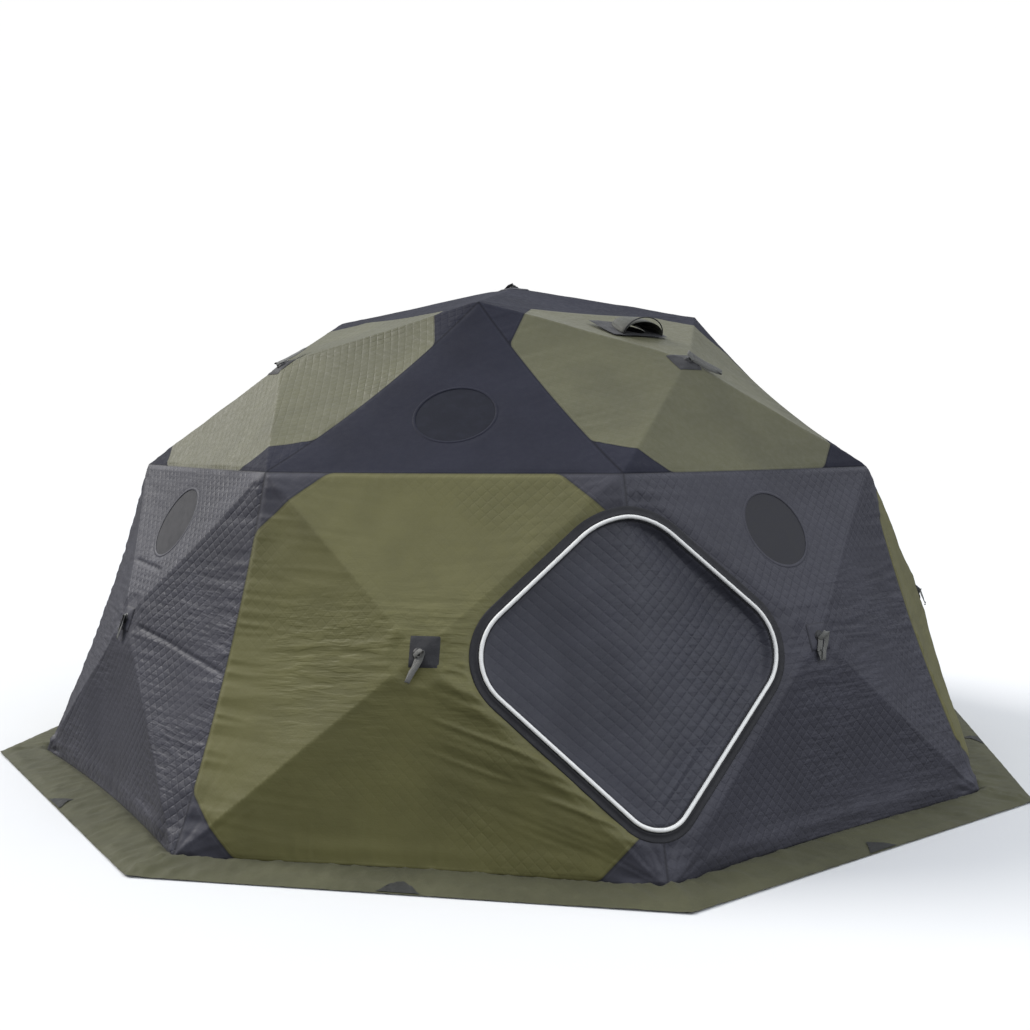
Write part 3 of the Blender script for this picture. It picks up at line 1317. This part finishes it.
def skirt_height(flat):
    """How high the rumpled skirt lies over the ground."""
    out_gap = distance_to(flat, SKIRT_CORNERS, closed=True)
    foot_gap = distance_to(flat, SKIRT_FOOT[::4], closed=True)
    mitre_gap = np.full(len(flat), 9.0)
    for inner, outer in zip(FOOT_CORNERS, SKIRT_CORNERS):
        mitre_gap = np.minimum(mitre_gap, distance_to(flat, [inner, outer]))
    run = np.arctan2(flat[:, 0], -flat[:, 1]) * 2.5
    near = np.exp(-mitre_gap / 0.22)
    height = 0.004 + 0.008 * (0.5 + 0.5 * fractal(flat[:, 0] / 0.35, flat[:, 1] / 0.35, 41))
    height += (0.004 + 0.014 * near) * folds(run / 0.085, out_gap / 0.30, 42) ** 2
    height += 0.006 * folds((run + 0.5 * out_gap) / 0.055, out_gap / 0.12, 47) ** 3
    height += 0.010 * np.exp(-mitre_gap / 0.010) + 0.006 * near * folds(run / 0.03, out_gap / 0.10, 49) ** 2
    height *= smoothstep(foot_gap / 0.03 + 0.15) * (0.25 + 0.75 * smoothstep(out_gap / 0.05))
    height += 0.0016 * smoothstep((0.016 - out_gap) / 0.003) + 0.0012
    height[inside(flat, SKIRT_FOOT)] = 0.0012
    return height


def skirt():
    """The band of cloth on the ground, mitred at the corners and rumpled."""
    rows = []
    for index in range(8):
        ends = [SKIRT_CORNERS[index], SKIRT_CORNERS[(index + 1) % 8]]
        rows.append(resampled(ends, SKIRT_SPACING)[:-1])
    tucked = 1 - SKIRT_TUCK / np.linalg.norm(SKIRT_FOOT, axis=1)
    inner = resampled(SKIRT_FOOT * tucked[:, None], SKIRT_SPACING, closed=True)
    mitres = []
    for index in range(8):
        way = unit(SKIRT_CORNERS[index])
        ends = [way * (LEVELS["ground"][0] + 0.005), way * (SKIRT_OUTER - 0.02)]
        mitres.append(resampled(ends, SKIRT_SPACING))
    flat, faces = triangulated(np.vstack(rows), SKIRT_SPACING, mitres, [inner])
    points = np.column_stack([flat, skirt_height(flat)])
    cloth = np.column_stack([flat, distance_to(flat, SKIRT_CORNERS, closed=True)])
    obj = new_piece("skirt_cloth", points, faces, [materials["skirt"]], cloth=cloth)
    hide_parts("skirt")
    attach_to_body(obj, "shelter")


def skirt_tabs():
    """The dark triangle of heavier cloth at the middle of each side's outer edge, for a peg."""
    for index in range(8):
        first, second = SKIRT_CORNERS[index], SKIRT_CORNERS[(index + 1) % 8]
        along = unit(second - first)
        inward = -unit((first + second) / 2)
        middle = (first + second) / 2 + inward * 0.006
        corners = [middle - along * TAB_HALF, middle + along * TAB_HALF, middle + inward * TAB_DEPTH]
        flat, faces = triangulated(resampled(corners, 0.008, closed=True), 0.010)
        gap = distance_to(flat, corners, closed=True)
        lift = 0.0020 + 0.0016 * smoothstep(gap / 0.004) + 0.0010 * smoothstep((0.010 - gap) / 0.004)
        points = np.column_stack([flat, skirt_height(flat) + lift])
        cloth = np.column_stack([flat, gap])
        obj = new_piece(f"skirt_tab_{index + 1}", points, faces, [materials["tab"]], cloth=cloth)
        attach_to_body(obj, "shelter")


# ---------------------------------------------------------------- build


def build_object():
    for k in WALLS:
        panel, colour = panels[f"wall_{k}"], "dark" if k in ODD else "olive"
        window = WALL_WINDOW if k in ODD else None
        cloth_panel(panel, "wall", colour, f"hub_wall_{k}", window=window)
        if window:
            window_pane(panel, window, f"window_wall_{k}", f"hub_wall_{k}")
        hub_set(panel, f"wall_{k}", colour)
    for k in ODD:
        panel = panels[f"roof_quarter_{k}"]
        vent = panel.flatten(vent_frame(panel)[1][None])[0] if k == 1 else None
        cloth_panel(panel, "quarter", "roof_olive", f"hub_roof_{k}", vent=vent)
        hub_set(panel, f"roof_{k}", "roof")
    for k in EVEN:
        panel = panels[f"roof_triangle_{k}"]
        cloth_panel(panel, "triangle", "roof_dark", None, window=TRIANGLE_WINDOW)
        window_pane(panel, TRIANGLE_WINDOW, f"window_roof_{k}", None)
    cloth_panel(panels["crown_panel"], "crown", "roof_dark", "hub_crown")
    hub_set(panels["crown_panel"], "crown", "crown")
    door_surround()
    door_piping()
    door_leaf()
    for build in (vent_screen, vent_patch, vent_hood):
        build(panels["roof_quarter_1"])
    skirt()
    skirt_tabs()
    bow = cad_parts["vent_bow"]
    bow.data.materials.clear()
    bow.data.materials.append(materials["plastic"])


def backdrop():
    """A pale dome that the camera sees behind the floor. It takes no part in the lighting."""
    points, faces = turned([(32 * math.cos(turn), 32 * math.sin(turn) - 0.5)
                            for turn in np.linspace(0, math.pi / 2 - 0.001, 13)], 48)
    dome = new_piece("backdrop", points, faces, [])
    shader = Shader("backdrop", 1.0, Emission_Strength=1.0)
    shader.surface.inputs["Base Color"].default_value = (0, 0, 0, 1)
    shader.surface.inputs["Emission Color"].default_value = (1.0, 1.0, 1.0, 1)
    dome.data.materials.append(shader.material)
    dome.visible_diffuse = dome.visible_glossy = dome.visible_shadow = False
    dome.visible_transmission = dome.visible_volume_scatter = False


def studio():
    """A pale floor, with a duller one under it for the light it throws back, a sky and a soft key."""
    for name, height, albedo in (("floor", 0.0, FLOOR_SEEN), ("floor_bounce", -0.002, FLOOR_BOUNCE)):
        data = bpy.data.meshes.new(name)
        corners = [(-40, -40, height), (40, -40, height), (40, 40, height), (-40, 40, height)]
        data.from_pydata(corners, [], [(0, 1, 2, 3)])
        floor = bpy.data.objects.new(name, data)
        bpy.context.scene.collection.objects.link(floor)
        shader = Shader(name, 0.9, Specular_IOR_Level=0.1)
        speckle = shader.noise(shader.node("ShaderNodeNewGeometry").outputs["Position"], 1.3, 2.0)
        data.materials.append(shader.finish(shader.mix(speckle, tone((0.97, 0.98, 1.0), albedo * 0.97),
                                                       tone((0.97, 0.98, 1.0), albedo))))
        seen = name == "floor"
        floor.visible_camera = seen
        floor.visible_diffuse = floor.visible_glossy = not seen
    backdrop()
    world = bpy.data.worlds.new("sky")
    bpy.context.scene.world = world
    world.use_nodes = True
    tree = world.node_tree
    way = tree.nodes.new("ShaderNodeTexCoord").outputs["Generated"]
    height = tree.nodes.new("ShaderNodeSeparateXYZ")
    tree.links.new(way, height.inputs[0])
    rise = tree.nodes.new("ShaderNodeMapRange")
    for index, value in ((1, 0.10), (2, 0.60), (3, SKY_LOW), (4, SKY_HIGH)):
        rise.inputs[index].default_value = value
    tree.links.new(height.outputs["Z"], rise.inputs[0])
    tree.links.new(rise.outputs[0], tree.nodes["Background"].inputs["Strength"])
    tree.nodes["Background"].inputs["Color"].default_value = (0.93, 0.96, 1.0, 1.0)
    lights = (("key", KEY_ENERGY, KEY_FROM, KEY_ANGLE, (1.0, 0.97, 0.92)),
              ("fill", FILL_ENERGY, FILL_FROM, FILL_ANGLE, (0.94, 0.97, 1.0)))
    for name, energy, direction, angle, colour in lights:
        light = bpy.data.lights.new(name, "SUN")
        light.energy = energy
        light.angle = math.radians(angle)
        light.color = colour
        lamp = bpy.data.objects.new(name, light)
        lamp.rotation_euler = Vector(direction).to_track_quat("Z", "Y").to_euler()
        bpy.context.scene.collection.objects.link(lamp)


def camera():
    data = bpy.data.cameras.new("camera")
    data.lens = CAMERA_LENS
    data.sensor_width = 36
    data.clip_end = 200
    obj = bpy.data.objects.new("camera", data)
    bpy.context.scene.collection.objects.link(obj)
    back = [-value for value in CAMERA_FORWARD]
    axes = Matrix((CAMERA_RIGHT, CAMERA_UP, back)).transposed()
    obj.matrix_world = Matrix.Translation(CAMERA_AT) @ axes.to_4x4()
    bpy.context.scene.camera = obj


build_object()
studio()
camera()
bpy.context.scene.view_settings.view_transform = "Standard"
